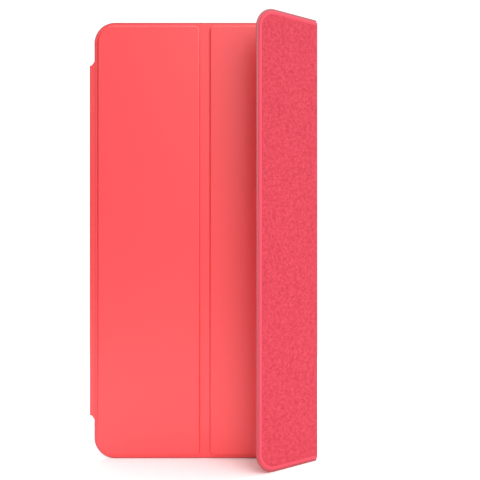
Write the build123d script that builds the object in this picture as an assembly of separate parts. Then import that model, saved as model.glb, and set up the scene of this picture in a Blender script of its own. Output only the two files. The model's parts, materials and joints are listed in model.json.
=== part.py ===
from build123d import *
import os

# A folding cover for a small tablet. Three stiff panels, joined by two living-hinge folds, hang
# from a magnetic spine that clings to the tablet's left side. The cover is drawn upright: X runs
# to the right, Y away from the reader and Z up. The origin is the centre of the spine's flat
# contact face. The third panel is drawn part folded over the second. Millimetres and degrees.

# ---- Driving dimensions ----
TABLET_THICKNESS = 7.5

COVER_HEIGHT = 199.1
PANEL_1_SPAN = 48.9        # hem's left edge to the first fold's near hinge line
PANEL_2_SPAN = 48.0        # hinge line to hinge line
PANEL_3_SPAN = 32.2        # hinge line to the free edge
PANEL_1_OVERHANG = 2.7     # how far the hem stands out past the contact face
PANEL_3_FOLDED = 148.8     # angle panel 3 is folded over, as drawn; 180 lies flat on panel 2
CORNER_RADIUS = 9.4        # the cover's four outer corners
INNER_CORNER_RADIUS = 2.2  # raised panels' corners beside a fold

LINING_THICKNESS = 0.4
SKIN_THICKNESS = 0.5       # the skin's thin hem, and the skin in a fold
BOARD_THICKNESS = 0.9
SKIN_OVER_BOARD = 0.6
HEM_WIDTH = 1.5            # thin hem around the raised part of a panel
PANEL_EDGE_CHAMFER = 0.8
LINING_INSET = 2.4         # bare rim of skin around the lining
BOARD_COVER = 0.5          # how far the lining laps past the board
FOLD_PANEL_GAP = 0.3       # between two panels folded flat on each other
HINGE_GAP = 0.17           # between a hinge line's round edge and its neighbour

SPINE_FROM_END = 19.55     # cover's top or bottom edge to the spine's end
SPINE_DEPTH = 3.8
SPINE_INSET = 0.35         # spine's edge below the tablet's front and back
SPINE_CORNER_RADIUS = 1.2
SPINE_WRAP_THICKNESS = 0.5
CONTACT_PAD_THICKNESS = 0.4
SPINE_FLAP_GAP = 0.15
FLAP_FLARE_RADIUS = 1.0
FLAP_LINING_INSET = 1.0

SPINE_MAGNET_COUNT = 6
SPINE_MAGNET_LENGTH = 14.0
SPINE_MAGNET_END = 8.0     # spine's end to the last magnet
SPINE_MAGNET_WALL = 0.9    # carrier's wall beside a magnet
SPINE_KEEPER_THICKNESS = 0.4
SPINE_KEEPER_END = 6.0     # spine's end to the keeper strip's end
SPINE_KEEPER_SIDE = 0.1    # rounded corner of the wrap's inside to the keeper strip's edge

STEEL_STRIP_WIDTH = 5.0
STEEL_STRIP_FROM_END = 37.55
STEEL_STRIP_COVER = 0.5    # board left over the strip
STEEL_STRIP_FROM_HEM = 7.0

CLOSURE_MAGNET_COUNT = 5
CLOSURE_MAGNET_LENGTH = 12.0
CLOSURE_MAGNET_WIDTH = 4.0
CLOSURE_MAGNET_END = 4.0   # keeper's end to the last magnet
CLOSURE_FROM_EDGE = 6.5    # free edge to the magnets' middle
CLOSURE_KEEPER_FROM_END = 29.55
CLOSURE_KEEPER_THICKNESS = 0.3
SENSOR_MAGNET_LENGTH = 6.0
SENSOR_MAGNET_WIDTH = 3.0
SENSOR_MAGNET_COVER = 0.3  # board left over the magnet
SENSOR_FROM_TOP = 14.0
POCKET_CLEARANCE = 0.05

# ---- Layers, as heights above a hinge line, towards the outer skin ----
HINGE_THICKNESS = LINING_THICKNESS + SKIN_THICKNESS
LINING_FACE = -HINGE_THICKNESS / 2
BOND = LINING_FACE + LINING_THICKNESS
HEM_FACE = BOND + SKIN_THICKNESS
BOARD_FACE = BOND + BOARD_THICKNESS
PANEL_FACE = BOARD_FACE + SKIN_OVER_BOARD

# ---- Places worked out from the driving dimensions ----
FRONT_Y = -TABLET_THICKNESS / 2
BACK_Y = TABLET_THICKNESS / 2
PANEL_Y = FRONT_Y + LINING_FACE
FOLD_SPAN = 2 * PANEL_FACE + FOLD_PANEL_GAP
HINGE_SETBACK = HINGE_THICKNESS / 2 + HINGE_GAP
HALF_HEIGHT = COVER_HEIGHT / 2
HALF_SPINE = HALF_HEIGHT - SPINE_FROM_END
SPINE_LENGTH = 2 * HALF_SPINE

HEM_LEFT = -PANEL_1_OVERHANG
FOLD_1_NEAR = HEM_LEFT + PANEL_1_SPAN
FOLD_1_FAR = FOLD_1_NEAR + FOLD_SPAN
FOLD_2_NEAR = FOLD_1_FAR + PANEL_2_SPAN
FOLD_2_FAR = FOLD_2_NEAR + FOLD_SPAN
FREE_EDGE = FOLD_2_FAR + PANEL_3_SPAN

# The flap swings about a line on the spine's outer side. Turned right round, the cover lies
# with its panels on the tablet's back, so that line is half-way between the two places.
FLAP_X = -(SPINE_DEPTH + SPINE_FLAP_GAP + HINGE_THICKNESS / 2)
FLAP_Y = (PANEL_Y + BACK_Y + PANEL_FACE) / 2
FLAP_SPAN = FLAP_Y - PANEL_Y

SPINE_HALF_WIDTH = TABLET_THICKNESS / 2 - SPINE_INSET


def plate(left, right, half_height, left_radius, right_radius, low, high):
    """Upright plate between two heights above the hinge lines, rounded at its corners."""
    outline = Pos((left + right) / 2, 0) * Rectangle(right - left, 2 * half_height)
    if left_radius > 0:
        outline = fillet(outline.vertices().group_by(Axis.X)[0], left_radius)
    if right_radius > 0:
        outline = fillet(outline.vertices().group_by(Axis.X)[-1], right_radius)
    base = Plane.XZ.offset(low - PANEL_Y)
    return extrude(base * outline, high - low)


def chip(middle_x, middle_z, width, length, low, high):
    """Small plain plate, such as a magnet, a steel strip or its pocket."""
    base = Plane.XZ.offset(low - PANEL_Y)
    return extrude(base * Pos(middle_x, middle_z) * Rectangle(width, length), high - low)


def pocket(middle_x, middle_z, width, length, low, high):
    """Hole for a chip, with clearance round its sides."""
    spare = 2 * POCKET_CLEARANCE
    return chip(middle_x, middle_z, width + spare, length + spare, low, high)


def panel(left, right, left_free, right_free):
    """Skin, board and lining of one stiff panel; a side is a free edge or meets a fold."""
    hem_left = 0 if left_free else HINGE_SETBACK
    hem_right = 0 if right_free else HINGE_SETBACK
    hem_radii = (CORNER_RADIUS if left_free else 0, CORNER_RADIUS if right_free else 0)
    hem = plate(left + hem_left, right - hem_right, HALF_HEIGHT, *hem_radii, BOND, HEM_FACE)

    raised_left = HEM_WIDTH if left_free else HINGE_SETBACK
    raised_right = HEM_WIDTH if right_free else HINGE_SETBACK
    raised_radii = [
        CORNER_RADIUS - HEM_WIDTH if free else INNER_CORNER_RADIUS
        for free in (left_free, right_free)
    ]
    raised = plate(
        left + raised_left,
        right - raised_right,
        HALF_HEIGHT - HEM_WIDTH,
        *raised_radii,
        BOND,
        PANEL_FACE,
    )
    rim = raised.faces().sort_by(Axis.Y)[0].edges()
    raised = chamfer(rim, PANEL_EDGE_CHAMFER)

    board_inset = LINING_INSET + BOARD_COVER
    fold_inset = HINGE_SETBACK + SKIN_OVER_BOARD
    board_radii = [
        CORNER_RADIUS - board_inset if free else INNER_CORNER_RADIUS
        for free in (left_free, right_free)
    ]
    board = plate(
        left + (board_inset if left_free else fold_inset),
        right - (board_inset if right_free else fold_inset),
        HALF_HEIGHT - board_inset,
        *board_radii,
        BOND,
        BOARD_FACE,
    )

    lining_radii = [CORNER_RADIUS - LINING_INSET if free else 0 for free in (left_free, right_free)]
    lining = plate(
        left + (LINING_INSET if left_free else HINGE_SETBACK),
        right - (LINING_INSET if right_free else HINGE_SETBACK),
        HALF_HEIGHT - LINING_INSET,
        *lining_radii,
        LINING_FACE,
        BOND,
    )
    return hem + raised - board, board, lining


def hinge_strip(start, along, span, skin_half_height, lining_half_height):
    """Skin and lining of a thin flexible strip, round-edged about its two hinge lines."""
    section_plane = Plane(origin=start, x_dir=along, z_dir=(0, 0, -1))
    section = Pos(span / 2, 0) * SlotCenterToCenter(span, HINGE_THICKNESS)
    box_width = span + 2 * HINGE_THICKNESS
    skin_side = Pos(span / 2, (BOND + HEM_FACE) / 2) * Rectangle(box_width, SKIN_THICKNESS)
    lining_side = Pos(span / 2, (LINING_FACE + BOND) / 2) * Rectangle(box_width, LINING_THICKNESS)
    skin = extrude(section_plane * (section & skin_side), skin_half_height, both=True)
    lining = extrude(section_plane * (section & lining_side), lining_half_height, both=True)
    return skin, lining


def folded(part, hinge_x, degrees):
    """Turn a part about an upright hinge line, towards the outer skin."""
    return Pos(hinge_x, PANEL_Y) * Rot(0, 0, -degrees) * Pos(-hinge_x, -PANEL_Y) * part


def row(count, reach):
    """Evenly spaced heights, the first and last at the given reach from the cover's middle."""
    return [reach * (2 * place / (count - 1) - 1) for place in range(count)]


# ---- Spine: magnets in a carrier, wrapped in skin, with a soft pad against the tablet ----
spine_block = Pos(-SPINE_DEPTH / 2, 0) * Box(SPINE_DEPTH, 2 * SPINE_HALF_WIDTH, SPINE_LENGTH)
outer_corners = spine_block.edges().filter_by(Axis.Z).group_by(Axis.X)[0]
spine_block = fillet(outer_corners, SPINE_CORNER_RADIUS)

PAD_BACK_X = -CONTACT_PAD_THICKNESS
CORE_BACK_X = -SPINE_DEPTH + SPINE_WRAP_THICKNESS
CORE_HALF_WIDTH = SPINE_HALF_WIDTH - SPINE_WRAP_THICKNESS
CORE_HALF_LENGTH = HALF_SPINE - SPINE_WRAP_THICKNESS
CORE_CORNER_RADIUS = SPINE_CORNER_RADIUS - SPINE_WRAP_THICKNESS
KEEPER_FRONT_X = CORE_BACK_X + SPINE_KEEPER_THICKNESS


def spine_slab(back_x, front_x, half_width, length, middle_z=0):
    """Plain block in the spine, between two depths behind the contact face."""
    size = (front_x - back_x, 2 * half_width, length)
    return Pos((back_x + front_x) / 2, 0, middle_z) * Box(*size)


spine_contact_pad = spine_slab(PAD_BACK_X, 0, SPINE_HALF_WIDTH, SPINE_LENGTH)
core_space = spine_slab(CORE_BACK_X, PAD_BACK_X, CORE_HALF_WIDTH, 2 * CORE_HALF_LENGTH)
core_corners = core_space.edges().filter_by(Axis.Z).group_by(Axis.X)[0]
core_space = fillet(core_corners, CORE_CORNER_RADIUS)
spine_outer_wrap = spine_block - spine_contact_pad - core_space

keeper_half_width = CORE_HALF_WIDTH - CORE_CORNER_RADIUS - SPINE_KEEPER_SIDE
keeper_length = SPINE_LENGTH - 2 * SPINE_KEEPER_END
spine_keeper_strip = spine_slab(CORE_BACK_X, KEEPER_FRONT_X, keeper_half_width, keeper_length)
magnet_half_width = CORE_HALF_WIDTH - SPINE_MAGNET_WALL
magnet_reach = HALF_SPINE - SPINE_MAGNET_END - SPINE_MAGNET_LENGTH / 2
magnet_heights = row(SPINE_MAGNET_COUNT, magnet_reach)
spine_magnets = [
    spine_slab(KEEPER_FRONT_X, PAD_BACK_X, magnet_half_width, SPINE_MAGNET_LENGTH, height)
    for height in magnet_heights
]
magnet_pockets = [
    spine_slab(
        KEEPER_FRONT_X,
        PAD_BACK_X,
        magnet_half_width + POCKET_CLEARANCE,
        SPINE_MAGNET_LENGTH + 2 * POCKET_CLEARANCE,
        height,
    )
    for height in magnet_heights
]
spine_core = core_space - spine_keeper_strip - magnet_pockets

# ---- Flap: the flexible strip that lets the cover swing right round the tablet's edge ----
flap_outer_skin, flap_lining = hinge_strip(
    (FLAP_X, FLAP_Y, 0), (0, -1, 0), FLAP_SPAN, HALF_SPINE, HALF_SPINE - FLAP_LINING_INSET
)

# ---- Panel 1, with the lip that meets the flap and the steel strip for the stand ----
panel_1_outer_skin, panel_1_board, panel_1_lining = panel(HEM_LEFT, FOLD_1_NEAR, True, False)
LIP_LEFT = FLAP_X + HINGE_SETBACK
LIP_RIGHT = HEM_LEFT + HEM_WIDTH
lip = plate(LIP_LEFT, LIP_RIGHT, HALF_SPINE, 0, 0, BOND, HEM_FACE)
panel_1_outer_skin += lip
flare_edges = panel_1_outer_skin.edges().filter_by(Axis.Y).filter_by(
    lambda edge: abs(edge.center().X - HEM_LEFT) < 0.01
    and abs(abs(edge.center().Z) - HALF_SPINE) < 0.01
)
panel_1_outer_skin = fillet(flare_edges, FLAP_FLARE_RADIUS)
lining_lip_right = HEM_LEFT + LINING_INSET + BOARD_COVER
panel_1_lining += plate(
    LIP_LEFT, lining_lip_right, HALF_SPINE - FLAP_LINING_INSET, 0, 0, LINING_FACE, BOND
)
STEEL_STRIP_LENGTH = COVER_HEIGHT - 2 * STEEL_STRIP_FROM_END
STEEL_STRIP_TOP = BOARD_FACE - STEEL_STRIP_COVER
steel_place = (HEM_LEFT + STEEL_STRIP_FROM_HEM, 0, STEEL_STRIP_WIDTH, STEEL_STRIP_LENGTH)
panel_1_steel_strip = chip(*steel_place, BOND, STEEL_STRIP_TOP)
panel_1_board -= pocket(*steel_place, BOND, STEEL_STRIP_TOP)

# ---- Folds and panel 2 ----
fold_lining_half_height = HALF_HEIGHT - LINING_INSET
fold_1_outer_skin, fold_1_lining = hinge_strip(
    (FOLD_1_NEAR, PANEL_Y, 0), (1, 0, 0), FOLD_SPAN, HALF_HEIGHT, fold_lining_half_height
)
panel_2_outer_skin, panel_2_board, panel_2_lining = panel(FOLD_1_FAR, FOLD_2_NEAR, False, False)
fold_2_outer_skin, fold_2_lining = hinge_strip(
    (FOLD_2_NEAR, PANEL_Y, 0), (1, 0, 0), FOLD_SPAN, HALF_HEIGHT, fold_lining_half_height
)

# ---- Panel 3, with the magnets that hold it shut and hold the rolled-up stand ----
panel_3_outer_skin, panel_3_board, panel_3_lining = panel(FOLD_2_FAR, FREE_EDGE, False, True)
MAGNET_X = FREE_EDGE - CLOSURE_FROM_EDGE
MAGNET_TOP = BOARD_FACE - CLOSURE_KEEPER_THICKNESS
CLOSURE_KEEPER_LENGTH = COVER_HEIGHT - 2 * CLOSURE_KEEPER_FROM_END
closure_reach = CLOSURE_KEEPER_LENGTH / 2 - CLOSURE_MAGNET_END - CLOSURE_MAGNET_LENGTH / 2
closure_places = [
    (MAGNET_X, height, CLOSURE_MAGNET_WIDTH, CLOSURE_MAGNET_LENGTH)
    for height in row(CLOSURE_MAGNET_COUNT, closure_reach)
]
panel_3_closure_magnets = [chip(*place, BOND, MAGNET_TOP) for place in closure_places]
panel_3_board -= [pocket(*place, BOND, MAGNET_TOP) for place in closure_places]
keeper_place = (MAGNET_X, 0, CLOSURE_MAGNET_WIDTH, CLOSURE_KEEPER_LENGTH)
panel_3_keeper_strip = chip(*keeper_place, MAGNET_TOP, BOARD_FACE)
panel_3_board -= pocket(*keeper_place, MAGNET_TOP, BOARD_FACE)
sensor_place = (
    MAGNET_X, HALF_HEIGHT - SENSOR_FROM_TOP, SENSOR_MAGNET_WIDTH, SENSOR_MAGNET_LENGTH
)
panel_3_sensor_magnet = chip(*sensor_place, BOND, BOARD_FACE - SENSOR_MAGNET_COVER)
panel_3_board -= pocket(*sensor_place, BOND, BOARD_FACE - SENSOR_MAGNET_COVER)

# Each fold bends equally about its two hinge lines.
half_fold = PANEL_3_FOLDED / 2


def fold_3(part):
    """Move a piece of panel 3 from flat to its folded place."""
    return folded(folded(part, FOLD_2_FAR, half_fold), FOLD_2_NEAR, half_fold)


nodes = {
    "spine_core": spine_core,
    "spine_outer_wrap": spine_outer_wrap,
    "spine_contact_pad": spine_contact_pad,
    "spine_magnets": Compound(spine_magnets),
    "spine_keeper_strip": spine_keeper_strip,
    "flap_outer_skin": flap_outer_skin,
    "flap_lining": flap_lining,
    "panel_1_outer_skin": panel_1_outer_skin,
    "panel_1_board": panel_1_board,
    "panel_1_lining": panel_1_lining,
    "panel_1_steel_strip": panel_1_steel_strip,
    "fold_1_outer_skin": fold_1_outer_skin,
    "fold_1_lining": fold_1_lining,
    "panel_2_outer_skin": panel_2_outer_skin,
    "panel_2_board": panel_2_board,
    "panel_2_lining": panel_2_lining,
    "fold_2_outer_skin": folded(fold_2_outer_skin, FOLD_2_NEAR, half_fold),
    "fold_2_lining": folded(fold_2_lining, FOLD_2_NEAR, half_fold),
    "panel_3_outer_skin": fold_3(panel_3_outer_skin),
    "panel_3_board": fold_3(panel_3_board),
    "panel_3_lining": fold_3(panel_3_lining),
    "panel_3_closure_magnets": fold_3(Compound(panel_3_closure_magnets)),
    "panel_3_sensor_magnet": fold_3(panel_3_sensor_magnet),
    "panel_3_keeper_strip": fold_3(panel_3_keeper_strip),
}

os.makedirs("parts", exist_ok=True)
for name, shape in nodes.items():
    export_step(shape, f"parts/{name}.step")
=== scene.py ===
import json
import math

import bmesh
import bpy
from mathutils import Matrix, Vector


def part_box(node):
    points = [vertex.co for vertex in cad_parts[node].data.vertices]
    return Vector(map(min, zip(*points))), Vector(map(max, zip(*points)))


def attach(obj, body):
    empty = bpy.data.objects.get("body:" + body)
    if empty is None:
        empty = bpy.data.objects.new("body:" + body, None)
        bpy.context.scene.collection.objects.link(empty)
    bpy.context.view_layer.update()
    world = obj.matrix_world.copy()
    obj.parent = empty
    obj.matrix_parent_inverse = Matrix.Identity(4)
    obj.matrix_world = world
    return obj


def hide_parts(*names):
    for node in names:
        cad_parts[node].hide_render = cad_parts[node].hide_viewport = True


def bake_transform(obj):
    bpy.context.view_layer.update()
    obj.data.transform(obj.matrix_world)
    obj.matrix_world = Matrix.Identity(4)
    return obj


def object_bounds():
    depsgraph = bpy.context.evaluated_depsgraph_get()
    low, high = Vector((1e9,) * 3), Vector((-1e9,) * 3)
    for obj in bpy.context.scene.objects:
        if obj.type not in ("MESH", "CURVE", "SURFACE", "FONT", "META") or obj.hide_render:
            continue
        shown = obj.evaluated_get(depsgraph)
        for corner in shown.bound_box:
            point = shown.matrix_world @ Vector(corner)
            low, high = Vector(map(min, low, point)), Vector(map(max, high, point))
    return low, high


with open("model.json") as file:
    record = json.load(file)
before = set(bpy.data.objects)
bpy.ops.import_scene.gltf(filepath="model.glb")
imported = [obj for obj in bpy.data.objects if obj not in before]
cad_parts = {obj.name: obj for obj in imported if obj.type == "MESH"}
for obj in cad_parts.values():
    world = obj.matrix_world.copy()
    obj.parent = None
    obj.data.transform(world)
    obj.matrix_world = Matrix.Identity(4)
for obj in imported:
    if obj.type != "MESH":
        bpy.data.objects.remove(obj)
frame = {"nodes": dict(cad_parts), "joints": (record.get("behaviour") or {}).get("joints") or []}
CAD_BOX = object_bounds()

bl_info = {
    "name": "Folding tablet cover",
    "version": (1, 0, 0),
    "blender": (4, 5, 0),
    "location": "View3D > Sidebar > Cover",
    "description": "Models a folding magnetic tablet cover around its packed frame",
    "category": "Object",
}

MM = 0.001
FRONT = Vector((0, -1, 0))
BACK = Vector((0, 1, 0))
HAIR = 0.004 * MM          # keeps faces that would lie in one plane just apart
CORNER_SEGMENTS = 16       # of the cover's outer corners
INNER_SEGMENTS = 12        # of a raised panel's own corners
SHOULDER_SEGMENTS = 6
SHOULDER_PROFILE = 0.45    # a little flatter than a quarter circle
END_FACE_SHADE = 0.25       # how much of the painted edge shade the end face shows
FOLD_SLICES = 14           # cuts across each half of a fold, so that it can bend
FLAP_SLICES = 20           # cuts across the flap's front half
FLAP_BEND_BEFORE = 2.0 * MM    # the flap's bend, from its start to the hinge line
FLAP_BEND_AFTER = 1.45 * MM    # and from the hinge line to its end
FLARE_POWER = 1.3          # makes the flap's ends widen gently at first
BEND_STEPS = 60            # rounds in which a bent point settles
BEND_EASE = 0.4            # share of the way that it moves in each round
SMOOTH_BELOW = math.radians(35)    # edges flatter than this are shaded smooth

# ---- The light: directions from the cover, and ramps (from, to) along them ----
KEY_FROM = Vector((0.5, -0.72, 0.48))
FILL_FROM = (0.85, 0.0, 0.53)
FILL_RAMP = (-0.05, 0.65)
LEFT_FILL_RAMP = (-0.8, -0.3)
CEILING_RAMP = (0.8, 0.95)

# ---- Places from the frame ----
JOINTS = {joint["name"]: joint for joint in frame["joints"]}


def hinge_line(name):
    """Where a hinge line crosses the cover's middle, at rest."""
    return Vector(JOINTS[name]["pos_m"])


def turn(line, angle):
    """Matrix that turns about an upright hinge line."""
    return Matrix.Translation(line) @ Matrix.Rotation(angle, 4, "Z") @ Matrix.Translation(-line)


FOLD_1_NEAR = hinge_line("first_fold")
FOLD_1_FAR = hinge_line("first_fold_far")
FOLD_2_NEAR = hinge_line("second_fold")
FLAP_BACK = hinge_line("cover_swing")
FLAP_FRONT = hinge_line("cover_swing_outer")
PANEL_Y = FOLD_1_NEAR.y
FOLD_SPAN = FOLD_1_FAR.x - FOLD_1_NEAR.x
FLAP_SPAN = FLAP_BACK.y - FLAP_FRONT.y
FOLD_2_FAR = FOLD_2_NEAR + Vector((FOLD_SPAN, 0, 0))    # with panel 3 laid flat
HALF_FOLD = math.radians(JOINTS["second_fold"]["range_deg"][0])
FLAP_CORNER = math.radians(-90)
FOLD_2_REST = turn(FOLD_2_NEAR, HALF_FOLD)
PANEL_3_REST = FOLD_2_REST @ turn(FOLD_2_FAR, HALF_FOLD)
FLAP_REST = turn(FLAP_FRONT, FLAP_CORNER)


def laid_flat(node, matrix):
    """A node's vertices with the cover laid flat."""
    back = matrix.inverted()
    return [back @ vertex.co for vertex in frame["nodes"][node].data.vertices]


FREE_EDGE = max(place.x for place in laid_flat("panel_3_outer_skin", PANEL_3_REST))
PANEL_2_LOW, PANEL_2_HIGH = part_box("panel_2_outer_skin")
HALF_HEIGHT = PANEL_2_HIGH.z
HINGE_SETBACK = PANEL_2_LOW.x - FOLD_1_FAR.x
WRAP_LOW, WRAP_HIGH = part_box("spine_outer_wrap")
CORE_LOW, CORE_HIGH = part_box("spine_core")
HALF_SPINE = WRAP_HIGH.z

# ---- The cover's layers, as heights above the hinge lines, towards the outer skin ----
LINING_FACE = PANEL_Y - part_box("panel_2_lining")[1].y
BOND = PANEL_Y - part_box("panel_2_lining")[0].y
HEM_FACE = PANEL_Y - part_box("fold_1_outer_skin")[0].y
PANEL_FACE = PANEL_Y - PANEL_2_LOW.y
BOARD_FACE = PANEL_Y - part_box("panel_2_board")[0].y
HALF_LAMINATE = (HEM_FACE - LINING_FACE) / 2


def linear(hex_colour):
    """An sRGB hex colour as linear red, green, blue and alpha."""
    parts = [int(hex_colour[place:place + 2], 16) / 255 for place in (0, 2, 4)]
    return (*[c / 12.92 if c <= 0.04045 else ((c + 0.055) / 1.055) ** 2.4 for c in parts], 1.0)


def size(name, millimetres, description):
    """Length property, in metres."""
    return bpy.props.FloatProperty(
        name=name, description=description, default=millimetres * MM, min=0, precision=5,
        subtype="DISTANCE", unit="LENGTH",
    )


def colour(name, hex_colour, description):
    """Colour property with an sRGB default."""
    return bpy.props.FloatVectorProperty(
        name=name, description=description, default=linear(hex_colour), size=4, min=0, max=1,
        subtype="COLOR",
    )


class CoverSizes(bpy.types.PropertyGroup):
    """Sizes of the cover's own details."""

    overhang: size("Overhang", 2.7, "How far panel 1's hem stands out past the contact face")
    corner: size("Corner radius", 9.4, "Radius of the cover's outer corners")
    inner_corner: size("Inner corner", 2.2, "Radius of a raised panel's corners beside a fold")
    hem: size("Hem width", 1.5, "Thin hem around a raised panel")
    shoulder: size("Shoulder", 0.8, "Soft chamfer of a raised panel's edge")
    edge: size("Edge rounding", 0.2, "Rounding of the thin hem's edges")
    # Width and fade of the painted shade, a darker line along the skin's outer edge.
    edge_shade: size("Trimmed edge", 0.3, "Width of the darker line along the trimmed edge")
    edge_shade_fade: size("Trimmed edge's fade", 0.2, "Width over which that line fades")
    board_inset: size("Board inset", 2.9, "Cover's edge to the stiffener board")
    board_fold_inset: size("Board to fold", 0.6, "Skin between a board and the fold beside it")
    rim: size("Rim", 0.95, "Bare rim of skin around the lining")
    lining_slope: size("Lining slope", 0.5, "Width over which the lining rises to its full height")
    ridge: size("Lining ridge", 1.0, "Width of the pressed ridge round the lining")
    crease: size("Lining crease", 0.32, "Width of the crease inside the ridge")
    crease_depth: size("Crease depth", 0.1, "Depth of the crease inside the ridge")
    lining_edge: size("Lining edge", 0.06, "Thickness of the lining's pressed edge")
    lining_shoulder: size("Lining shoulder", 0.14, "Rounding at the top of the lining's slope")
    flap_end: size("Flap lining inset", 1.0, "Flap's end to its lining's end")
    flare: size("Flare", 1.9, "How far each of the flap's ends widens where it meets panel 1")
    flare_from: size("Flare start", 1.47, "Panel 1's edge to where the flap starts to widen")
    lip: size("Lip", 0.15, "How far panel 1's hem reaches out to meet the flap")
    wrap_corner: size("Spine corner", 1.2, "Radius of the spine's outer corners")
    wrap_end: size("Spine end", 0.3, "Rounding of the wrap at the spine's ends")
    welt: size("Welt", 0.13, "Height of the welt where the flap leaves the spine")
    welt_width: size("Welt width", 1.0, "Width of the welt where the flap leaves the spine")


class CoverColours(bpy.types.PropertyGroup):
    """Colours of the cover's finishes."""

    skin: colour("Outer skin", "F2393F", "Moulded polyurethane film")
    # Painted shade: a darker colour along the skin's outer edges and on the bare rim round the
    # lining, where they face away from the light.
    edge_shade: colour("Trimmed edge", "A0142A", "Polyurethane film where it is pressed and cut")
    nap_up: colour("Lining", "CE4656", "Brushed microfibre with its nap raised")
    nap_down: colour("Lining nap", "AE2D3B", "Brushed microfibre with its nap laid over")
    # Painted highlight: an even, lighter colour on the band round the lining, for the light that
    # its raised edge catches.
    ridge: colour("Lining ridge", "D24A5A", "Microfibre pressed smooth round the lining")
    pad: colour("Contact pad", "DA4152", "Soft-touch elastomer")
    board: colour("Board", "B9BDA6", "Glass-fibre laminate sheet")
    carrier: colour("Carrier", "2C2C2E", "Moulded nylon")
    magnet: colour("Magnet", "C9C6BE", "Nickel plate")
    steel: colour("Steel", "B4B5B8", "Cold-rolled steel")
    floor: colour("Floor", "FAFAFA", "Matt white paint")


class CoverStage(bpy.types.PropertyGroup):
    """Camera and light."""

    camera_across: size("Camera across", 63.85, "Camera to the right of the contact face")
    camera_above: size("Camera above", 0.2, "Camera above the cover's middle")
    camera_away: size("Camera away", 249.0, "Camera in front of the lining's face")
    floor_size: size("Floor", 460, "Side of the square floor")
    lens: bpy.props.FloatProperty(
        name="Lens", description="Focal length on a 36 mm sensor, in millimetres",
        default=40.7, min=1,
    )
    key_size: size("Key light's size", 420, "Side of the square key light")
    key_away: size("Key light away", 500, "Key light to the cover's middle")
    key: bpy.props.FloatProperty(
        name="Key light", description="Power of the key light, in watts", default=0.95, min=0
    )
    backdrop: bpy.props.FloatProperty(
        name="Backdrop", description="Brightness of the white backdrop", default=1.1, min=0
    )
    fill: bpy.props.FloatProperty(
        name="Fill", description="Strength of the soft light from the upper right",
        default=1.0, min=0,
    )
    ceiling: bpy.props.FloatProperty(
        name="Ceiling", description="Strength that the ceiling light adds", default=1.4, min=0
    )
    left_fill: bpy.props.FloatProperty(
        name="Left fill", description="Strength of the dim light from the left", default=0.55, min=0
    )


# ---- Modelling ----
def object_mode():
    """Leave edit mode."""
    if bpy.context.mode != "OBJECT":
        bpy.ops.object.mode_set(mode="OBJECT")


def edit(obj):
    """Make one object the only one selected, and edit its mesh."""
    object_mode()
    bpy.ops.object.select_all(action="DESELECT")
    obj.select_set(True)
    bpy.context.view_layer.objects.active = obj
    bpy.ops.object.mode_set(mode="EDIT")


def new_block(name, low, high):
    """Block primitive between two corners, in edit mode."""
    low, high = Vector(low), Vector(high)
    object_mode()
    bpy.ops.object.select_all(action="DESELECT")
    bpy.ops.mesh.primitive_cube_add(size=1, location=(low + high) / 2, scale=high - low)
    block = bpy.context.active_object
    block.name = name
    bpy.ops.object.transform_apply(location=True, rotation=True, scale=True)
    edit(block)
    return block


def slab(name, left, right, half_height, low, high):
    """Upright block between two heights above the hinge lines, in edit mode."""
    return new_block(
        name, (left, PANEL_Y - high, -half_height), (right, PANEL_Y - low, half_height)
    )


def pick(obj, kind, test):
    """Select what passes a test in the mesh being edited."""
    bpy.ops.mesh.select_mode(type=kind)
    bpy.ops.mesh.select_all(action="DESELECT")
    mesh = bmesh.from_edit_mesh(obj.data)
    mesh.normal_update()
    items = {"EDGE": mesh.edges, "FACE": mesh.faces}[kind]
    for item in items:
        item.select_set(False)
    for item in items:
        if test(item):
            item.select_set(True)
    bmesh.update_edit_mesh(obj.data)


def pick_widest(obj, direction):
    """Select the largest face that looks in a direction."""
    mesh = bmesh.from_edit_mesh(obj.data)
    mesh.normal_update()
    facing = [face for face in mesh.faces if face.normal.dot(direction) > 0.99]
    widest = max(facing, key=lambda face: face.calc_area()).index
    pick(obj, "FACE", lambda face: face.index == widest)


def runs_along(axis, side=None):
    """Test for edges that run along one axis and, with a side, start where its test passes."""
    def test(edge):
        along = edge.verts[1].co - edge.verts[0].co
        if abs(along[axis]) < 0.99 * along.length:
            return False
        return side is None or side(edge.verts[0].co)
    return test


def is_sharp(edge):
    """Test for edges between faces at about a right angle."""
    return len(edge.link_faces) == 2 and edge.calc_face_angle() > math.radians(60)


def bevel(offset, segments, profile=0.5):
    """Round the selected edges; a profile of 0.25 is a flat chamfer and 0.5 a quarter circle."""
    bpy.ops.mesh.bevel(
        offset=offset, offset_type="OFFSET", segments=segments, profile=profile, affect="EDGES"
    )


def bevel_widest(obj, direction, offset, segments, profile=0.5):
    """Round the edge all round the largest face that looks in a direction."""
    pick_widest(obj, direction)
    bpy.ops.mesh.region_to_loop()
    bevel(offset, segments, profile)


def round_corners(obj, middle, left_radius, right_radius, segments):
    """Round a slab's upright outline at its left and right corners."""
    for radius, side in (
        (left_radius, lambda place: place.x < middle),
        (right_radius, lambda place: place.x > middle),
    ):
        if radius > 0:
            pick(obj, "EDGE", runs_along(1, side))
            bevel(radius, segments)


def bisect(place, keep=None):
    """Cut the edited mesh at one x, and keep both sides, or the low or the high one closed."""
    bpy.ops.mesh.select_mode(type="VERT")
    bpy.ops.mesh.select_all(action="SELECT")
    bpy.ops.mesh.bisect(
        plane_co=(place, 0, 0), plane_no=(1, 0, 0), threshold=1e-7,
        use_fill=keep is not None, clear_inner=keep == "high", clear_outer=keep == "low",
    )


def slice_across(low, high, count):
    """Cut the edited mesh evenly between two places, so that it can bend."""
    for step in range(1, count):
        bisect(low + (high - low) * step / count)


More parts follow.
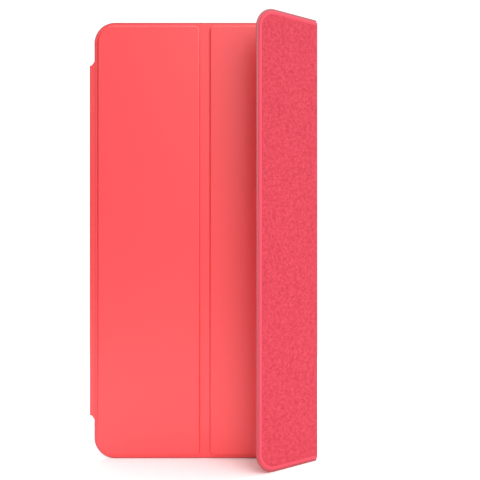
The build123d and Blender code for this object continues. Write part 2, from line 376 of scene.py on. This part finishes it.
def piece_of(sheet, name, low=None, high=None, slices=1):
    """Copy of a flat sheet between two places, cut across evenly."""
    object_mode()
    piece = sheet.copy()
    piece.data = sheet.data.copy()
    piece.name = name
    bpy.context.scene.collection.objects.link(piece)
    edit(piece)
    if low is not None:
        bisect(low, keep="high")
    if high is not None:
        bisect(high, keep="low")
    if slices > 1:
        slice_across(low, high, slices)
    object_mode()
    return piece


def remove(obj):
    """Delete an object and its mesh."""
    object_mode()
    mesh = obj.data
    bpy.data.objects.remove(obj)
    bpy.data.meshes.remove(mesh)


def combine(piece, other, operation):
    """Join another shape to a piece, or cut it out, and throw the other away."""
    object_mode()
    modifier = piece.modifiers.new(operation.title(), "BOOLEAN")
    modifier.operation = operation
    modifier.solver = "EXACT"
    modifier.object = other
    bpy.context.view_layer.objects.active = piece
    bpy.ops.object.modifier_apply(modifier=modifier.name)
    remove(other)


def smoothstep(share):
    """Smooth step from 0 to 1, as a bend over a hinge follows."""
    share = min(max(share, 0.0), 1.0)
    return share * share * (3 - 2 * share)


def bend_zone(line, angle, before, after):
    """Start and end of the bend over a hinge line, clear of both of the strip's ends."""
    half = angle / 2
    along = Vector((math.cos(half), math.sin(half), 0))
    spare = HALF_LAMINATE * abs(math.sin(half))
    start = line + along * (spare - before * math.cos(half))
    end = line + along * (after * math.cos(half) - spare)
    return start, end


def bend(piece, line, angle, start, end, far_side=True):
    """Bend a flat piece about a hinge line, so that turning it back lays it flat again."""
    along = end - start
    side = 1.0 if far_side else -1.0
    for vertex in piece.data.vertices:
        arm = vertex.co - line
        share = 0.5 + 0.5 * max(-1.0, min(1.0, side * arm.x / along.length))
        for _ in range(BEND_STEPS):
            spot = line + Matrix.Rotation(angle * share, 3, "Z") @ arm
            step = smoothstep((spot - start).dot(along) / along.length_squared)
            share += BEND_EASE * ((step if far_side else 1 - step) - share)
        vertex.co = line + Matrix.Rotation(angle * share, 3, "Z") @ arm


def finish_piece(piece, material, node, even=False):
    """Shade a piece, give it its material and hide the CAD node that it stands in for."""
    edit(piece)
    bpy.ops.mesh.select_all(action="SELECT")
    bpy.ops.mesh.normals_make_consistent(inside=False)
    object_mode()
    bpy.ops.object.shade_smooth_by_angle(angle=SMOOTH_BELOW)
    if even:
        modifier = piece.modifiers.new("Even shading", "WEIGHTED_NORMAL")
        modifier.keep_sharp = True
        modifier.weight = 100
        bpy.ops.object.modifier_apply(modifier=modifier.name)
    piece.data.materials.clear()
    piece.data.materials.append(material)
    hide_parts(node)


# ---- Materials ----
MIX_A, MIX_B, MIX_OUT = 6, 7, 2    # colour sockets of a mix node
MIX_A_NUMBER, MIX_B_NUMBER = 2, 3  # its number sockets


def add_node(tree, kind, values=None, links=None, **properties):
    """Add a shader node with its properties, input values and links."""
    made = tree.nodes.new(kind)
    for key, value in properties.items():
        setattr(made, key, value)
    for socket, value in (values or {}).items():
        made.inputs[socket].default_value = value
    for socket, source in (links or {}).items():
        tree.links.new(source, made.inputs[socket])
    return made


def start_material(name, roughness, **constants):
    """New node material with constant values on its shader; gives its tree, shader and place."""
    material = bpy.data.materials.new(name)
    material.use_nodes = True
    tree = material.node_tree
    shader = tree.nodes["Principled BSDF"]
    shader.inputs["Roughness"].default_value = roughness
    for socket, value in constants.items():
        shader.inputs[socket.replace("_", " ")].default_value = value
    place = add_node(tree, "ShaderNodeTexCoord").outputs["Object"]
    return material, tree, shader, place


def noise(tree, place, millimetres, detail=2.0, roughness=0.5):
    """Noise whose blotches are about this size."""
    return add_node(
        tree, "ShaderNodeTexNoise",
        {"Scale": 1 / (millimetres * MM), "Detail": detail, "Roughness": roughness},
        {"Vector": place},
    ).outputs["Fac"]


def tint(tree, shader, share, first, second):
    """Base colour that drifts from one colour to another."""
    mix = add_node(
        tree, "ShaderNodeMix", {MIX_A: first, MIX_B: second}, {0: share}, data_type="RGBA"
    )
    tree.links.new(mix.outputs[MIX_OUT], shader.inputs["Base Color"])


def spread(tree, share, low, high, to_low=0.0, to_high=1.0):
    """Stretch the middle of a noise over a range."""
    return add_node(
        tree, "ShaderNodeMapRange",
        {"From Min": low, "From Max": high, "To Min": to_low, "To Max": to_high},
        {"Value": share},
    ).outputs["Result"]


def relief(tree, shader, height, millimetres):
    """Bump of a real depth."""
    bump = add_node(
        tree, "ShaderNodeBump", {"Strength": 1.0, "Distance": millimetres * MM},
        {"Height": height},
    )
    tree.links.new(bump.outputs["Normal"], shader.inputs["Normal"])


def darker(rgba, share):
    """A colour taken down by a share."""
    return (*[(1 - share) * c for c in rgba[:3]], 1.0)


def shade_marked(tree, shader, name, plain, marked):
    """Base colour that changes where a piece's points are marked."""
    share = add_node(
        tree, "ShaderNodeAttribute", attribute_name=name, attribute_type="GEOMETRY"
    ).outputs["Fac"]
    mix = add_node(
        tree, "ShaderNodeMix", {MIX_B: marked}, {0: share, MIX_A: plain}, data_type="RGBA"
    )
    tree.links.new(mix.outputs[MIX_OUT], shader.inputs["Base Color"])


def polyurethane(colours):
    """Moulded polyurethane film: satin and nearly even, with pigment that drifts by a percent."""
    material, tree, shader, place = start_material(
        "Polyurethane film, moulded satin", roughness=0.5, IOR=1.5, Specular_IOR_Level=1.0
    )
    drift = noise(tree, place, 45)
    pigment = add_node(
        tree, "ShaderNodeMix", {MIX_A: darker(colours.skin, 0.03), MIX_B: colours.skin},
        {0: drift}, data_type="RGBA",
    ).outputs[MIX_OUT]
    # Painted shade: the darker colour along the outer edges and on the bare rim round the lining.
    shade_marked(tree, shader, "edge_shade", pigment, colours.edge_shade)
    # The mould's grain is about 0.1 mm; it is drawn at 0.5 mm so that it shows.
    grain = noise(tree, place, 0.5, detail=3.0, roughness=0.6)
    gloss = spread(tree, grain, 0.3, 0.7, to_low=0.42, to_high=0.5)
    tree.links.new(gloss, shader.inputs["Roughness"])
    relief(tree, shader, grain, 0.006)
    return material


def microfibre(colours):
    """Brushed microfibre: matt nap that lies this way and that in blotches of 1 to 2 mm."""
    material, tree, shader, place = start_material(
        "Microfibre, brushed", roughness=0.95, Specular_IOR_Level=0.15, Sheen_Weight=0.12,
        Sheen_Roughness=0.5,
    )
    blotch = noise(tree, place, 1.2, detail=3.0, roughness=0.7)
    # The fibres are about 0.01 mm thick; their tufts are drawn at 0.35 mm so that they show.
    fibre = noise(tree, place, 0.35, detail=2.0, roughness=0.7)
    both = add_node(
        tree, "ShaderNodeMath", {1: 0.35}, {0: fibre, 2: blotch}, operation="MULTIPLY_ADD"
    ).outputs[0]
    nap = add_node(
        tree, "ShaderNodeMix", {MIX_A: colours.nap_down, MIX_B: colours.nap_up},
        {0: spread(tree, both, 0.45, 0.9)}, data_type="RGBA",
    ).outputs[MIX_OUT]
    # Painted highlight: the marked band round the lining takes an even, lighter colour.
    shade_marked(tree, shader, "pressed", nap, colours.ridge)
    relief(tree, shader, both, 0.09)
    return material


def elastomer(colours):
    """Soft-touch elastomer pad: matt, with the fine tooth of a sandblasted mould."""
    material, tree, shader, place = start_material(
        "Elastomer, soft touch", roughness=0.7, IOR=1.45
    )
    # A sandblasted tooth is about 0.1 mm; it is drawn at 0.4 mm so that it shows.
    tooth = noise(tree, place, 0.4)
    tint(tree, shader, tooth, darker(colours.pad, 0.08), colours.pad)
    relief(tree, shader, tooth, 0.01)
    return material


def laminate(colours):
    """Glass-fibre laminate: pale and slightly glossy, with the weave of its cloth showing."""
    material, tree, shader, place = start_material("Glass-fibre laminate", roughness=0.4, IOR=1.54)
    weave = add_node(
        tree, "ShaderNodeTexChecker", {"Scale": 1 / (0.8 * MM)}, {"Vector": place}
    ).outputs["Fac"]
    tint(tree, shader, weave, darker(colours.board, 0.1), colours.board)
    relief(tree, shader, weave, 0.01)
    return material


def nylon(colours):
    """Moulded nylon: dark, dull and faintly mottled by its filler."""
    material, tree, shader, place = start_material("Nylon, moulded", roughness=0.55, IOR=1.53)
    mottle = noise(tree, place, 0.8, detail=3.0)
    tint(tree, shader, mottle, darker(colours.carrier, 0.2), colours.carrier)
    relief(tree, shader, mottle, 0.01)
    return material


def nickel(colours):
    """Nickel-plated magnet: bright metal, a little cloudy from barrel plating."""
    material, tree, shader, place = start_material(
        "Nickel plate, barrel-plated", roughness=0.28, Metallic=1.0
    )
    cloud = noise(tree, place, 1.5, detail=3.0)
    tint(tree, shader, cloud, darker(colours.magnet, 0.1), colours.magnet)
    gloss = spread(tree, cloud, 0.3, 0.7, to_low=0.22, to_high=0.36)
    tree.links.new(gloss, shader.inputs["Roughness"])
    return material


def rolled_steel(colours):
    """Cold-rolled steel strip: grey metal with fine lines along its length."""
    material, tree, shader, place = start_material(
        "Steel, cold-rolled", roughness=0.35, Metallic=1.0
    )
    stretched = add_node(
        tree, "ShaderNodeMapping", {"Scale": (1.0, 1.0, 0.03)}, {"Vector": place}
    ).outputs["Vector"]
    # Rolling lines are about 0.05 mm apart; they are drawn at 0.3 mm so that they show.
    lines = noise(tree, stretched, 0.3)
    tint(tree, shader, lines, darker(colours.steel, 0.15), colours.steel)
    gloss = spread(tree, lines, 0.3, 0.7, to_low=0.28, to_high=0.42)
    tree.links.new(gloss, shader.inputs["Roughness"])
    return material


MAKERS = {
    "outer_skin": polyurethane,
    "lining": microfibre,
    "contact_pad": elastomer,
    "board": laminate,
    "carrier": nylon,
    "magnet": nickel,
    "steel": rolled_steel,
}
MADE = {}


def material_for(slot):
    """The material of one of the record's slots, made once."""
    if slot not in MADE:
        MADE[slot] = MAKERS[slot](bpy.context.scene.cover_colours)
    return MADE[slot]


# ---- The outer skin ----
def hem_left():
    """Left edge of panel 1's hem."""
    return -bpy.context.scene.cover_sizes.overhang


def skin_sheet():
    """The outer skin's thin hem, whole and flat, with its corners and edges rounded."""
    sizes = bpy.context.scene.cover_sizes
    sheet = slab("skin_sheet", hem_left(), FREE_EDGE, HALF_HEIGHT, BOND, HEM_FACE)
    pick(sheet, "EDGE", runs_along(1))
    bevel(sizes.corner, CORNER_SEGMENTS)
    pick(sheet, "EDGE", is_sharp)
    bevel(sizes.edge, segments=3)
    pick_widest(sheet, FRONT)
    # Two insets give the painted edge shade its line and its fade.
    for step in (sizes.edge_shade - sizes.edge, sizes.edge_shade_fade):
        bpy.ops.mesh.inset(thickness=step, use_even_offset=True)
    object_mode()
    return sheet


def inside_outline(place):
    """How far a place on the flat cover is inside its rounded outline."""
    corner = bpy.context.scene.cover_sizes.corner
    across = abs(place.x - (hem_left() + FREE_EDGE) / 2) - (FREE_EDGE - hem_left()) / 2 + corner
    along = abs(place.z) - HALF_HEIGHT + corner
    return corner - math.hypot(max(across, 0), max(along, 0)) - min(max(across, along), 0)


def mark(piece, name, share):
    """Store a share, from 0 to 1, for each point of a flat piece."""
    marks = piece.data.attributes.new(name, "FLOAT", "POINT")
    for vertex, point in zip(piece.data.vertices, marks.data):
        point.value = min(max(share(vertex.co), 0), 1)


def mark_edge_shade(skin):
    """Mark painted shade on the bare rim round the lining and along the skin's outer edge."""
    sizes = bpy.context.scene.cover_sizes

    def share(place):
        """Share of the painted edge shade."""
        inside = inside_outline(place)
        if inside < HAIR:
            return END_FACE_SHADE
        if place.y > PANEL_Y - BOND - HAIR:
            return 1
        return 1 - (inside - sizes.edge_shade) / sizes.edge_shade_fade

    mark(skin, "edge_shade", share)


def raised_slab(left, right, left_free, right_free, inset, fold_inset, low, high):
    """Slab inside a panel's outline: the raised skin, or the pocket for its board."""
    sizes = bpy.context.scene.cover_sizes
    left += inset if left_free else fold_inset
    right -= inset if right_free else fold_inset
    block = slab("raised_slab", left, right, HALF_HEIGHT - inset, low, high)
    radii = [
        sizes.corner - inset if free else sizes.inner_corner for free in (left_free, right_free)
    ]
    round_corners(block, (left + right) / 2, *radii, INNER_SEGMENTS)
    return block


def panel_skin(sheet, name, left, right, left_free, right_free):
    """Skin of one panel, flat: its hem, its raised face and the pocket for its board."""
    sizes = bpy.context.scene.cover_sizes
    low = None if left_free else left + HINGE_SETBACK
    high = None if right_free else right - HINGE_SETBACK
    skin = piece_of(sheet, name, low, high)
    sides = (left, right, left_free, right_free)
    middle_of_hem = (BOND + HEM_FACE) / 2
    raised = raised_slab(*sides, sizes.hem, HINGE_SETBACK + HAIR, middle_of_hem, PANEL_FACE)
    bevel_widest(raised, FRONT, sizes.shoulder, SHOULDER_SEGMENTS, SHOULDER_PROFILE)
    combine(skin, raised, "UNION")
    board_fold_inset = HINGE_SETBACK + sizes.board_fold_inset
    board = raised_slab(
        *sides, sizes.board_inset, board_fold_inset, BOND - sizes.hem, BOARD_FACE + HAIR
    )
    combine(skin, board, "DIFFERENCE")
    # Painted shade along the skin's outer edge and on its bare rim.
    mark_edge_shade(skin)
    return skin


class COVER_OT_panel_skins(bpy.types.Operator):
    """Model the outer skins of the three panels"""

    bl_idname = "cover.panel_skins"
    bl_label = "Panel skins"

    def execute(self, context):
        """Model each skin flat, and turn the third to where it rests."""
        sizes = context.scene.cover_sizes
        sheet = skin_sheet()
        first = panel_skin(sheet, "panel_1_skin", hem_left(), FOLD_1_NEAR.x, True, False)
        lip = slab(
            "lip", hem_left() - sizes.lip, hem_left() + sizes.hem / 2,
            HALF_SPINE + sizes.flare - sizes.lip, BOND + HAIR, HEM_FACE - HAIR,
        )
        combine(first, lip, "UNION")
        second = panel_skin(sheet, "panel_2_skin", FOLD_1_FAR.x, FOLD_2_NEAR.x, False, False)
        third = panel_skin(sheet, "panel_3_skin", FOLD_2_FAR.x, FREE_EDGE, False, True)
        third.data.transform(PANEL_3_REST)
        for number, skin in enumerate((first, second, third), 1):
            node = f"panel_{number}_outer_skin"
            finish_piece(skin, material_for("outer_skin"), node, even=True)
            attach(skin, f"panel_{number}")
        remove(sheet)
        return {"FINISHED"}


def fold_halves(sheet, name, near, far, angle, bodies, slot, node):
    """Two halves of a fold's strip, each of which bends over one hinge line."""
    middle = (near.x + far.x) / 2
    half = FOLD_SPAN / 2
    halves = (
        ("near", near, HINGE_SETBACK, half, bodies[:2], Matrix.Identity(4)),
        ("far", far, half, HINGE_SETBACK, bodies[1:], turn(near, angle)),
    )
    made = []
    for end_name, line, before, after, pair, place in halves:
        low = near.x - HINGE_SETBACK if line is near else middle
        high = middle if line is near else far.x + HINGE_SETBACK
        piece = piece_of(sheet, f"{name}_{end_name}", low, high, FOLD_SLICES)
        # The skin's strips get the painted edge shade too.
        if slot == "outer_skin":
            mark_edge_shade(piece)
        start, end = bend_zone(line, angle, before, after)
        bend(piece, line, angle, start, end)
        piece.data.transform(place)
        finish_piece(piece, material_for(slot), node)
        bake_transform(piece)
        made.append(piece)
    return made


def both_folds(sheet, kind, slot, node_kind):
    """Both folds' strips, cut from a flat sheet."""
    return [
        fold_halves(
            sheet, f"fold_1_{kind}", FOLD_1_NEAR, FOLD_1_FAR, 0.0,
            ("panel_1", "fold_1", "panel_2"), slot, f"fold_1_{node_kind}",
        ),
        fold_halves(
            sheet, f"fold_2_{kind}", FOLD_2_NEAR, FOLD_2_FAR, HALF_FOLD,
            ("panel_2", "fold_2", "panel_3"), slot, f"fold_2_{node_kind}",
        ),
    ]


class COVER_OT_fold_skins(bpy.types.Operator):
    """Model the outer skin in both folds"""

    bl_idname = "cover.fold_skins"
    bl_label = "Fold skins"

    def execute(self, context):
        """Cut the strips from the flat hem and bend them."""
        sheet = skin_sheet()
        both_folds(sheet, "skin", "outer_skin", "outer_skin")
        remove(sheet)
        return {"FINISHED"}


# ---- The lining ----
def lining_sheet():
    """The lining, whole and flat: a pressed edge, a slope and a soft shoulder."""
    sizes = bpy.context.scene.cover_sizes
    sheet = slab(
        "lining_sheet", hem_left() + sizes.rim, FREE_EDGE - sizes.rim, HALF_HEIGHT - sizes.rim,
        BOND - sizes.lining_edge, BOND,
    )
    pick(sheet, "EDGE", runs_along(1))
    bevel(sizes.corner - sizes.rim, CORNER_SEGMENTS)
    pick_widest(sheet, BACK)
    rise = BOND - LINING_FACE - sizes.lining_edge
    bpy.ops.mesh.inset(thickness=sizes.lining_slope, depth=rise, use_even_offset=True)
    bevel_widest(sheet, BACK, sizes.lining_shoulder, segments=4)
    pick_widest(sheet, BACK)
    bpy.ops.mesh.inset(thickness=sizes.ridge - sizes.lining_shoulder, use_even_offset=True)
    for depth in (-sizes.crease_depth, sizes.crease_depth):
        bpy.ops.mesh.inset(thickness=sizes.crease / 2, depth=depth, use_even_offset=True)
    object_mode()
    # Marks the band round the lining for its painted highlight.
    ridge_end = sizes.rim + sizes.lining_slope + sizes.ridge + HAIR
    mark(sheet, "pressed", lambda place: float(inside_outline(place) < ridge_end))
    return sheet


class COVER_OT_linings(bpy.types.Operator):
    """Model the microfibre lining of the panels and folds"""

    bl_idname = "cover.linings"
    bl_label = "Linings"

    def execute(self, context):
        """Cut the lining from one flat sheet."""
        sizes = context.scene.cover_sizes
        sheet = lining_sheet()
        spans = (
            (None, FOLD_1_NEAR.x - HINGE_SETBACK),
            (FOLD_1_FAR.x + HINGE_SETBACK, FOLD_2_NEAR.x - HINGE_SETBACK),
            (FOLD_2_FAR.x + HINGE_SETBACK, None),
        )
        linings = [
            piece_of(sheet, f"panel_{number}_microfibre", low, high)
            for number, (low, high) in enumerate(spans, 1)
        ]
        tongue = slab(
            "tongue", hem_left() - sizes.lip, hem_left() + sizes.board_inset,
            HALF_SPINE - sizes.flap_end, LINING_FACE + HAIR, BOND - HAIR,
        )
        combine(linings[0], tongue, "UNION")
        linings[2].data.transform(PANEL_3_REST)
        for number, piece in enumerate(linings, 1):
            finish_piece(
                piece, material_for("lining"), f"panel_{number}_lining", even=True
            )
            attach(piece, f"panel_{number}")
        folds = both_folds(sheet, "microfibre", "lining", "lining")
        remove(sheet)
        return {"FINISHED"}


# ---- The flap ----
def flap_layer(kind, half_height, low, high, slot, node, flared):
    """One layer of the flap: a stiff back half, and a front half that bends round the corner."""
    sizes = bpy.context.scene.cover_sizes
    middle = FLAP_FRONT.x - FLAP_SPAN / 2
    tail = FLAP_FRONT.x - FLAP_SPAN - HALF_LAMINATE
    seam = hem_left() - sizes.lip
    strip = slab(f"flap_{kind}_strip", tail, seam, half_height, low, high)
    pick(strip, "EDGE", runs_along(0))
    bevel(sizes.edge, segments=2)
    object_mode()

    back = piece_of(strip, f"flap_{kind}_back", None, middle)
    outer = PANEL_Y - (high if slot == "outer_skin" else low)
    edit(back)
    pick(back, "EDGE", runs_along(
        2, lambda place: abs(place.x - tail) < HAIR and abs(place.y - outer) < HAIR
    ))
    fold_radius = HALF_LAMINATE - HAIR if slot == "outer_skin" else HALF_LAMINATE / 2
    bevel(fold_radius, segments=6)
    object_mode()
    back.data.transform(FLAP_REST)
    finish_piece(back, material_for(slot), node)
    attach(back, "flap")

    corner = piece_of(strip, f"flap_{kind}_corner", middle, seam, FLAP_SLICES)
    if flared:
        flare_left = hem_left() - sizes.flare_from
        for vertex in corner.data.vertices:
            share = max(0.0, (vertex.co.x - flare_left) / sizes.flare_from)
            widening = sizes.flare * share ** FLARE_POWER
            vertex.co.z += math.copysign(widening, vertex.co.z)
    start, end = bend_zone(FLAP_FRONT, FLAP_CORNER, FLAP_BEND_BEFORE, FLAP_BEND_AFTER)
    bend(corner, FLAP_FRONT, FLAP_CORNER, start, end, far_side=False)
    finish_piece(corner, material_for(slot), node)
    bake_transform(corner)
    remove(strip)


class COVER_OT_flap(bpy.types.Operator):
    """Model the flexible flap between the spine and panel 1"""

    bl_idname = "cover.flap"
    bl_label = "Flap"

    def execute(self, context):
        """Model the flap's skin and its lining."""
        sizes = context.scene.cover_sizes
        flap_layer("skin", HALF_SPINE, BOND, HEM_FACE, "outer_skin", "flap_outer_skin", True)
        flap_layer(
            "microfibre", HALF_SPINE - sizes.flap_end, LINING_FACE, BOND, "lining",
            "flap_lining", False,
        )
        return {"FINISHED"}


# ---- The spine ----
class COVER_OT_spine(bpy.types.Operator):
    """Model the skin wrapped round the magnetic spine"""

    bl_idname = "cover.spine"
    bl_label = "Spine"

    def execute(self, context):
        """Round a block, cut out the core's space and add the welt at the flap's root."""
        sizes = context.scene.cover_sizes
        wrap = new_block("spine_wrap", WRAP_LOW, WRAP_HIGH)
        outside = WRAP_LOW.x / 2
        pick(wrap, "EDGE", runs_along(2, lambda place: place.x < outside))
        bevel(sizes.wrap_corner, segments=8)
        pick(wrap, "EDGE", lambda edge: is_sharp(edge) and all(
            abs(vertex.co.z) > HALF_SPINE - HAIR for vertex in edge.verts
        ))
        bevel(sizes.wrap_end, segments=3)
        space = new_block(
            "core_space", CORE_LOW, Vector((WRAP_HIGH.x + sizes.hem, CORE_HIGH.y, CORE_HIGH.z))
        )
        combine(wrap, space, "DIFFERENCE")
        welt = new_block(
            "welt",
            (WRAP_LOW.x - sizes.welt, FLAP_BACK.y, WRAP_LOW.z + sizes.flap_end),
            (WRAP_LOW.x + sizes.welt, FLAP_BACK.y + sizes.welt_width, WRAP_HIGH.z - sizes.flap_end),
        )
        pick(welt, "EDGE", runs_along(2, lambda place: place.x < WRAP_LOW.x))
        bevel(sizes.welt - HAIR, segments=4)
        combine(wrap, welt, "UNION")
        finish_piece(wrap, material_for("outer_skin"), "spine_outer_wrap", even=True)
        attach(wrap, "spine")
        return {"FINISHED"}


# ---- The pieces inside ----
class COVER_OT_inner_pieces(bpy.types.Operator):
    """Give the boards, magnets, strips, carrier and pad their finishes"""

    bl_idname = "cover.inner_pieces"
    bl_label = "Inner pieces"

    def execute(self, context):
        """Give each CAD node the material that its kind of piece has."""
        kinds = (
            ("board", "board"), ("magnet", "magnet"), ("keeper", "steel"), ("steel", "steel"),
            ("core", "carrier"), ("pad", "contact_pad"), ("skin", "outer_skin"),
            ("wrap", "outer_skin"), ("lining", "lining"),
        )
        for name, node in frame["nodes"].items():
            slot = next(slot for word, slot in kinds if word in name)
            node.data.materials.clear()
            node.data.materials.append(material_for(slot))
        return {"FINISHED"}


# ---- The stage ----
class COVER_OT_stage(bpy.types.Operator):
    """Add the floor, the light and the camera"""

    bl_idname = "cover.stage"
    bl_label = "Stage"

    def execute(self, context):
        """Lay a pale floor, light it softly and place the camera."""
        stage = context.scene.cover_stage
        object_mode()
        bpy.ops.object.select_all(action="DESELECT")
        middle = (CAD_BOX[0] + CAD_BOX[1]) / 2
        bpy.ops.mesh.primitive_plane_add(
            size=stage.floor_size, location=(middle.x, middle.y, -HALF_HEIGHT - HAIR)
        )
        floor = context.active_object
        floor.name = "floor"
        material, tree, shader, place = start_material("Paint, matt white", roughness=0.9)
        floor_colour = context.scene.cover_colours.floor
        tint(tree, shader, noise(tree, place, 300), darker(floor_colour, 0.01), floor_colour)
        floor.data.materials.append(material)

        # A white backdrop, a soft light from the upper right, a dimmer one from the left and a
        # small ceiling light. What the camera itself sees is the backdrop.
        world = bpy.data.worlds.new("Surroundings")
        world.use_nodes = True
        tree = world.node_tree
        sky = tree.nodes["Background"]
        sky.inputs["Color"].default_value = (1, 1, 1, 1)
        toward = add_node(tree, "ShaderNodeTexCoord").outputs["Generated"]
        height = add_node(tree, "ShaderNodeSeparateXYZ", None, {0: toward}).outputs["Z"]
        facing = add_node(
            tree, "ShaderNodeVectorMath", {1: FILL_FROM}, {0: toward}, operation="DOT_PRODUCT"
        ).outputs["Value"]
        left = spread(tree, facing, *LEFT_FILL_RAMP, 0.0, stage.left_fill)
        right = spread(tree, facing, *FILL_RAMP, 0.0, stage.fill)
        above = spread(tree, height, *CEILING_RAMP, 0.0, stage.ceiling)
        sides = add_node(
            tree, "ShaderNodeMath", None, {0: left, 1: right}, operation="ADD"
        ).outputs[0]
        light = add_node(
            tree, "ShaderNodeMath", None, {0: sides, 1: above}, operation="ADD"
        ).outputs[0]
        seen = add_node(tree, "ShaderNodeLightPath").outputs["Is Camera Ray"]
        strength = add_node(
            tree, "ShaderNodeMix", {MIX_B_NUMBER: stage.backdrop},
            {0: seen, MIX_A_NUMBER: light},
        )
        tree.links.new(strength.outputs[0], sky.inputs["Strength"])
        context.scene.world = world

        key = bpy.data.lights.new("Key light", "AREA")
        key.energy = stage.key
        key.size = stage.key_size
        key_light = bpy.data.objects.new("key_light", key)
        context.scene.collection.objects.link(key_light)
        key_light.location = middle + stage.key_away * KEY_FROM.normalized()
        key_light.rotation_euler = KEY_FROM.to_track_quat("Z", "Y").to_euler()

        lens = bpy.data.cameras.new("Camera")
        lens.lens = stage.lens
        lens.clip_start = 0.01
        camera = bpy.data.objects.new("camera", lens)
        context.scene.collection.objects.link(camera)
        lining_y = PANEL_Y - LINING_FACE
        camera.location = (stage.camera_across, lining_y - stage.camera_away, stage.camera_above)
        camera.rotation_euler = (math.radians(90), 0, 0)
        context.scene.camera = camera
        context.scene.view_settings.view_transform = "Standard"
        return {"FINISHED"}


class COVER_PT_panel(bpy.types.Panel):
    """Sidebar panel that lists the cover's steps"""

    bl_idname = "COVER_PT_panel"
    bl_label = "Folding tablet cover"
    bl_space_type = "VIEW_3D"
    bl_region_type = "UI"
    bl_category = "Cover"

    def draw(self, context):
        """List the operators, then the sizes, colours and stage."""
        for operator in OPERATORS:
            self.layout.operator(operator.bl_idname)
        for group in (
            context.scene.cover_sizes, context.scene.cover_colours, context.scene.cover_stage
        ):
            box = self.layout.box()
            for name in group.__annotations__:
                box.prop(group, name)


GROUPS = {"cover_sizes": CoverSizes, "cover_colours": CoverColours, "cover_stage": CoverStage}
OPERATORS = (
    COVER_OT_inner_pieces,
    COVER_OT_spine,
    COVER_OT_flap,
    COVER_OT_panel_skins,
    COVER_OT_fold_skins,
    COVER_OT_linings,
    COVER_OT_stage,
)


def register():
    """Register the classes and their settings."""
    for group in (*GROUPS.values(), *OPERATORS, COVER_PT_panel):
        bpy.utils.register_class(group)
    for name, group in GROUPS.items():
        setattr(bpy.types.Scene, name, bpy.props.PointerProperty(type=group))


def unregister():
    """Remove the settings and the classes."""
    for name in GROUPS:
        delattr(bpy.types.Scene, name)
    for group in (COVER_PT_panel, *OPERATORS, *GROUPS.values()):
        bpy.utils.unregister_class(group)


def main():
    """Build the cover."""
    register()
    bpy.ops.cover.inner_pieces()
    bpy.ops.cover.spine()
    bpy.ops.cover.flap()
    bpy.ops.cover.panel_skins()
    bpy.ops.cover.fold_skins()
    bpy.ops.cover.linings()
    bpy.ops.cover.stage()


if __name__ == "__main__":
    main()
